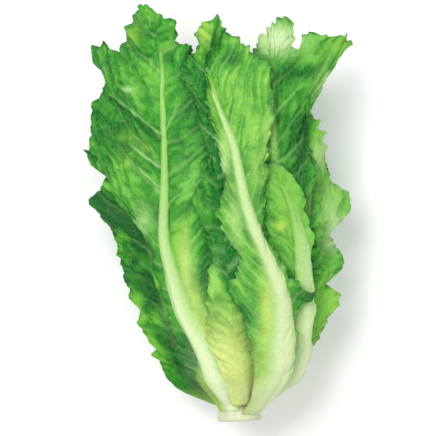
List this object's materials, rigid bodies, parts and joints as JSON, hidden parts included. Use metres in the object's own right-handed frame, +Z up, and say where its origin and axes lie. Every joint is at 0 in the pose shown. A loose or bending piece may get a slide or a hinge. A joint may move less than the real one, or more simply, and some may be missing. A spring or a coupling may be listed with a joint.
{
  "type": "romaine lettuce head",
  "caption": "Head of romaine lettuce lying on its side: long crinkled green leaves with pale ribs, laid round a paler heart and joined at a cut cream stem.",
  "frame": {"origin": "middle of the small flat spot on the underside that the head rests on, below its weight", "axes": "+Y along the head from the cut stem to the leaf tips, +X across it, +Z up from the surface that it lies on, so that the front leaf with the widest rib looks up"},
  "size_m": [0.1828, 0.2907, 0.1268],
  "materials": {
    "cut_stem": "matt, pale cream and moist",
    "heart_leaf_pale": "smooth, pale yellow-green, satin",
    "heart_leaf_green": "softly crinkled, light green, satin",
    "light_green_leaf": "crinkled, light green with a pale rib, satin",
    "mid_green_leaf": "crinkled, mid green with a pale rib, satin",
    "dark_green_leaf": "crinkled, dark green with frilled margins, satin"
  },
  "bodies": {
    "root": {"stem": "cut_stem", "leaf_heart_1": "heart_leaf_green", "leaf_heart_2": "heart_leaf_green", "leaf_heart_3": "heart_leaf_green", "leaf_heart_4": "heart_leaf_green", "leaf_heart_5": "heart_leaf_green", "leaf_heart_6": "heart_leaf_pale", "leaf_heart_7": "heart_leaf_pale", "leaf_heart_8": "heart_leaf_pale", "leaf_heart_9": "heart_leaf_pale", "leaf_heart_10": "heart_leaf_pale", "leaf_heart_11": "heart_leaf_pale", "leaf_back_inner": "mid_green_leaf", "leaf_back_left": "mid_green_leaf", "leaf_right": "dark_green_leaf", "leaf_back_right": "mid_green_leaf", "leaf_top_right": "mid_green_leaf", "leaf_far_left": "dark_green_leaf", "leaf_left": "mid_green_leaf", "leaf_right_front": "mid_green_leaf", "leaf_centre": "light_green_leaf", "leaf_front": "light_green_leaf"}
  },
  "joints": []
}
